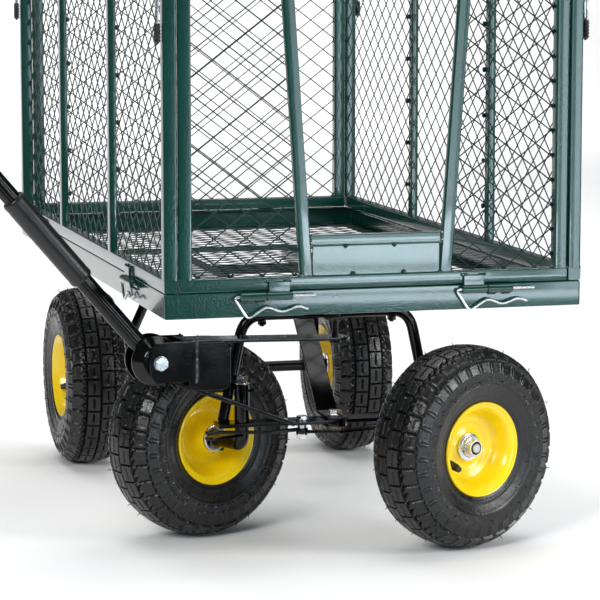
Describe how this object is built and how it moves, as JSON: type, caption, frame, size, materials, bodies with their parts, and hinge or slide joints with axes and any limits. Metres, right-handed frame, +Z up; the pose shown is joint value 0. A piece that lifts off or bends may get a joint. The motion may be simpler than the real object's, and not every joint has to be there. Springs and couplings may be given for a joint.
{
  "type": "garden cart",
  "caption": "Steel garden cart with fold-down mesh sides, pneumatic tyres on yellow rims and a steered pull handle.",
  "frame": {"origin": "middle of the footprint of the bounding box, on the ground", "axes": "+Z up, -Y towards the steered front end, +X towards the right when seen from the front"},
  "size_m": [1.0832, 0.991, 0.9116],
  "materials": {
    "green_paint": "glossy dark green paint",
    "black_paint": "gloss black paint",
    "yellow_paint": "gloss yellow paint",
    "tyre_rubber": "black tyre rubber",
    "zinc": "bright zinc plate",
    "black_plastic": "satin black plastic"
  },
  "bodies": {
    "chassis": {"bed_rim": "green_paint", "bed_floor_mesh": "green_paint", "front_arch": "black_paint", "rear_arch": "black_paint", "arch_bolt_left": "black_paint", "arch_bolt_right": "black_paint", "centre_brace": "black_paint", "front_beam": "black_paint", "kingpin_barrel_left": "black_paint", "kingpin_barrel_right": "black_paint", "upper_pivot_pin": "black_paint", "lower_pivot_bolt": "zinc", "rear_axle": "black_paint", "axle_nut_rear_left": "zinc", "axle_nut_rear_right": "zinc"},
    "tongue": {"drawbar": "black_paint", "link_bolt": "zinc", "clevis_bolt": "zinc"},
    "link_left": {"tie_rod_left": "black_paint"},
    "link_right": {"tie_rod_right": "black_paint"},
    "steer_left": {"knuckle_left": "black_paint", "kingpin_nut_left": "zinc", "axle_nut_front_left": "zinc"},
    "steer_right": {"knuckle_right": "black_paint", "kingpin_nut_right": "zinc", "axle_nut_front_right": "zinc"},
    "handle": {"handle_base": "black_paint", "handle_sleeve": "black_plastic", "handle_tube": "black_paint", "handle_grip": "black_plastic"},
    "front_side": {"front_panel_frame": "green_paint", "front_panel_mesh_left": "green_paint", "front_panel_mesh_right": "green_paint", "front_panel_plate": "green_paint"},
    "rear_side": {"rear_panel_frame": "green_paint", "rear_panel_mesh": "green_paint"},
    "left_side": {"left_panel_frame": "green_paint", "left_panel_mesh": "green_paint"},
    "right_side": {"right_panel_frame": "green_paint", "right_panel_mesh": "green_paint"},
    "wheel_front_left": {"tyre_front_left": "tyre_rubber", "rim_front_left": "yellow_paint"},
    "wheel_front_right": {"tyre_front_right": "tyre_rubber", "rim_front_right": "yellow_paint"},
    "wheel_rear_left": {"tyre_rear_left": "tyre_rubber", "rim_rear_left": "yellow_paint"},
    "wheel_rear_right": {"tyre_rear_right": "tyre_rubber", "rim_rear_right": "yellow_paint"},
    "clip_front_a_body": {"clip_front_a": "zinc"},
    "clip_front_b_body": {"clip_front_b": "zinc"},
    "clip_right_a_body": {"clip_right_a": "zinc"},
    "clip_right_b_body": {"clip_right_b": "zinc"},
    "clip_rear_a_body": {"clip_rear_a": "zinc"},
    "clip_rear_b_body": {"clip_rear_b": "zinc"},
    "clip_left_a_body": {"clip_left_a": "zinc"},
    "clip_left_b_body": {"clip_left_b": "zinc"},
    "latch_left_rear_body": {"latch_left_rear": "zinc"},
    "latch_left_front_body": {"latch_left_front": "zinc"},
    "latch_right_front_body": {"latch_right_front": "zinc"},
    "latch_right_rear_body": {"latch_right_rear": "zinc"}
  },
  "joints": [
    {"name": "steering", "type": "hinge", "parent": "chassis", "child": "tongue", "pos_m": [0.26732, -0.308, 0.158], "axis": [0, 0, 1], "range_deg": [0, 18]},
    {"name": "kingpin_left", "type": "hinge", "parent": "chassis", "child": "steer_left", "pos_m": [0.15282, -0.285, 0.18], "axis": [0, 0, 1], "range_deg": [0, 133]},
    {"name": "link_left_turn", "type": "hinge", "parent": "tongue", "child": "link_left", "pos_m": [0.22348, -0.31183, 0.147], "axis": [0, 0, 1], "range_deg": [-171, 0]},
    {"name": "wheel_front_left_spin", "type": "hinge", "parent": "steer_left", "child": "wheel_front_left", "pos_m": [0.11759, -0.20436, 0.128], "axis": [0.4003, -0.9164, 0], "continuous": true},
    {"name": "wheel_rear_left_spin", "type": "hinge", "parent": "chassis", "child": "wheel_rear_left", "pos_m": [0.07032, 0.319, 0.128], "axis": [1, 0, 0], "continuous": true},
    {"name": "kingpin_right", "type": "hinge", "parent": "chassis", "child": "steer_right", "pos_m": [0.38182, -0.285, 0.18], "axis": [0, 0, 1], "range_deg": [0, 133]},
    {"name": "link_right_turn", "type": "hinge", "parent": "tongue", "child": "link_right", "pos_m": [0.22348, -0.31183, 0.147], "axis": [0, 0, 1], "range_deg": [-171, 0]},
    {"name": "wheel_front_right_spin", "type": "hinge", "parent": "steer_right", "child": "wheel_front_right", "pos_m": [0.41705, -0.36564, 0.128], "axis": [0.4003, -0.9164, 0], "continuous": true},
    {"name": "wheel_rear_right_spin", "type": "hinge", "parent": "chassis", "child": "wheel_rear_right", "pos_m": [0.46432, 0.319, 0.128], "axis": [1, 0, 0], "continuous": true},
    {"name": "handle_tilt", "type": "hinge", "parent": "tongue", "child": "handle", "pos_m": [0.02923, -0.32883, 0.247], "axis": [0.0872, -0.9962, 0], "range_deg": [-10, 65]},
    {"name": "front_fold", "type": "hinge", "parent": "chassis", "child": "front_side", "pos_m": [0.26732, -0.4905, 0.3415], "axis": [1, 0, 0], "range_deg": [0, 90]},
    {"name": "rear_fold", "type": "hinge", "parent": "chassis", "child": "rear_side", "pos_m": [0.26732, 0.4905, 0.3415], "axis": [-1, 0, 0], "range_deg": [0, 90]},
    {"name": "left_fold", "type": "hinge", "parent": "chassis", "child": "left_side", "pos_m": [0.00432, 0, 0.3415], "axis": [0, -1, 0], "range_deg": [0, 45]},
    {"name": "right_fold", "type": "hinge", "parent": "chassis", "child": "right_side", "pos_m": [0.53032, 0, 0.3415], "axis": [0, 1, 0], "range_deg": [0, 90]},
    {"name": "latch_left_front_swing", "type": "hinge", "parent": "left_side", "child": "latch_left_front_body", "pos_m": [0.00482, -0.477, 0.7654], "axis": [0, 1, 0], "range_deg": [0, 100]},
    {"name": "latch_left_rear_swing", "type": "hinge", "parent": "left_side", "child": "latch_left_rear_body", "pos_m": [0.00482, 0.477, 0.7654], "axis": [0, 1, 0], "range_deg": [0, 100]},
    {"name": "latch_right_front_swing", "type": "hinge", "parent": "right_side", "child": "latch_right_front_body", "pos_m": [0.52982, -0.477, 0.7654], "axis": [0, -1, 0], "range_deg": [0, 100]},
    {"name": "latch_right_rear_swing", "type": "hinge", "parent": "right_side", "child": "latch_right_rear_body", "pos_m": [0.52982, 0.477, 0.7654], "axis": [0, -1, 0], "range_deg": [0, 100]},
    {"name": "clip_front_a_pull", "type": "slide", "parent": "chassis", "child": "clip_front_a_body", "axis": [-1, 0, 0], "range_m": [0, 0.1]},
    {"name": "clip_front_b_pull", "type": "slide", "parent": "chassis", "child": "clip_front_b_body", "axis": [-1, 0, 0], "range_m": [0, 0.1]},
    {"name": "clip_right_a_pull", "type": "slide", "parent": "chassis", "child": "clip_right_a_body", "axis": [0, -1, 0], "range_m": [0, 0.1]},
    {"name": "clip_right_b_pull", "type": "slide", "parent": "chassis", "child": "clip_right_b_body", "axis": [0, -1, 0], "range_m": [0, 0.1]},
    {"name": "clip_rear_a_pull", "type": "slide", "parent": "chassis", "child": "clip_rear_a_body", "axis": [1, 0, 0], "range_m": [0, 0.1]},
    {"name": "clip_rear_b_pull", "type": "slide", "parent": "chassis", "child": "clip_rear_b_body", "axis": [1, 0, 0], "range_m": [0, 0.1]},
    {"name": "clip_left_a_pull", "type": "slide", "parent": "chassis", "child": "clip_left_a_body", "axis": [0, 1, 0], "range_m": [0, 0.1]},
    {"name": "clip_left_b_pull", "type": "slide", "parent": "chassis", "child": "clip_left_b_body", "axis": [0, 1, 0], "range_m": [0, 0.1]}
  ],
  "couplings": [
    {"joint": "kingpin_left", "follows": "steering", "ratio": 0.78118},
    {"joint": "kingpin_right", "follows": "steering", "ratio": 0.78118},
    {"joint": "link_left_turn", "follows": "steering", "ratio": -1},
    {"joint": "link_right_turn", "follows": "steering", "ratio": -1}
  ]
}
